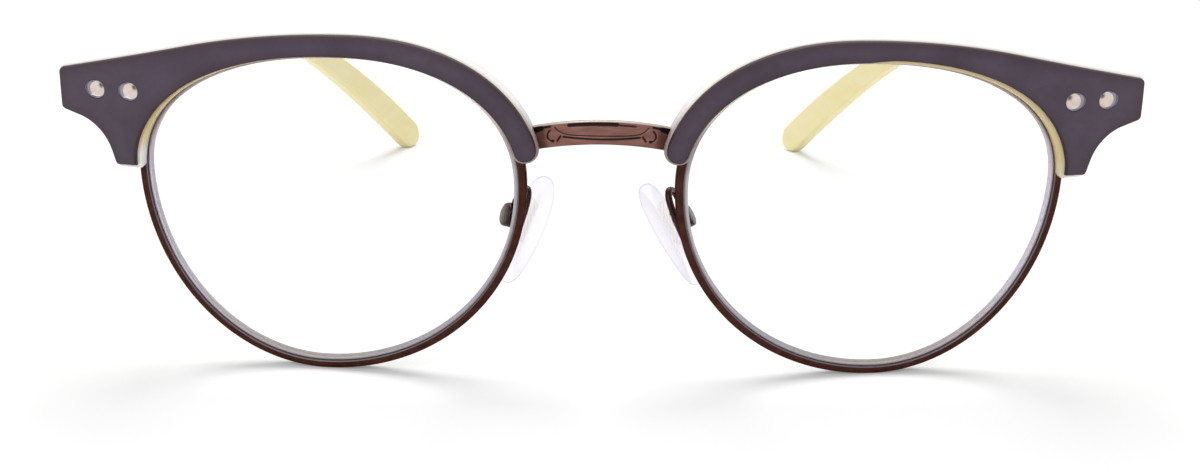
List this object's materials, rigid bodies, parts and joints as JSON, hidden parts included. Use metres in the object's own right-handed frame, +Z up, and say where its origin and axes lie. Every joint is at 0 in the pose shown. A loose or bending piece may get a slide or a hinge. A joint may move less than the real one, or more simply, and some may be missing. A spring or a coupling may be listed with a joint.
{
  "type": "browline glasses",
  "caption": "Browline glasses: dark-over-pale laminated brow pieces on a bronze metal chassis, clear round lenses, soft nose pads on wire arms and folding laminated temples.",
  "frame": {"origin": "centre of the open glasses' plan rectangle, at the height of the surface they stand on", "axes": "+X the wearer's left, +Y back along the open temples, +Z up; stored with both temples open"},
  "size_m": [0.1394, 0.1442, 0.0459],
  "materials": {
    "bronze": "satin",
    "silver": "satin",
    "gilt": "satin",
    "dark_sheet": "matte",
    "pale_sheet": "gloss",
    "lens": "clear",
    "silicone": "clear"
  },
  "bodies": {
    "front": {"bridge": "bronze", "eyewire_left": "bronze", "eyewire_right": "bronze", "closing_block_left": "bronze", "closing_block_right": "bronze", "closing_screw_left": "silver", "closing_screw_right": "silver", "lens_left": "lens", "lens_right": "lens", "brow_face_left": "dark_sheet", "brow_face_right": "dark_sheet", "brow_back_left": "pale_sheet", "brow_back_right": "pale_sheet", "brow_screws_left": "silver", "brow_screws_right": "silver", "hinge_front_left": "silver", "hinge_front_right": "silver", "front_rivets_left": "silver", "front_rivets_right": "silver", "hinge_screw_left": "silver", "hinge_screw_right": "silver", "pad_arm_left": "bronze", "pad_arm_right": "bronze", "pad_screw_left": "silver", "pad_screw_right": "silver"},
    "temple_left": {"temple_outer_left": "dark_sheet", "temple_inner_left": "pale_sheet", "temple_core_left": "silver", "hinge_temple_left": "silver", "temple_rivets_left": "silver"},
    "temple_right": {"temple_outer_right": "dark_sheet", "temple_inner_right": "pale_sheet", "temple_core_right": "silver", "hinge_temple_right": "silver", "temple_rivets_right": "silver"},
    "pad_left": {"nose_pad_left": "silicone", "pad_insert_left": "gilt"},
    "pad_right": {"nose_pad_right": "silicone", "pad_insert_right": "gilt"}
  },
  "joints": [
    {"name": "temple_left_fold", "type": "hinge", "parent": "front", "child": "temple_left", "pos_m": [0.065, -0.05824, 0.03751], "axis": [0, 0, 1], "range_deg": [0, 81]},
    {"name": "temple_right_fold", "type": "hinge", "parent": "front", "child": "temple_right", "pos_m": [-0.065, -0.05824, 0.03751], "axis": [0, 0, -1], "range_deg": [0, 73]},
    {"name": "pad_left_rock", "type": "hinge", "parent": "front", "child": "pad_left", "pos_m": [0.0109, -0.06243, 0.02064], "axis": [0.1355, 0.9811, 0.1384], "range_deg": [-8, 8]},
    {"name": "pad_right_rock", "type": "hinge", "parent": "front", "child": "pad_right", "pos_m": [-0.0116, -0.06243, 0.02064], "axis": [-0.3171, 0.9301, 0.1853], "range_deg": [-8, 8]}
  ]
}
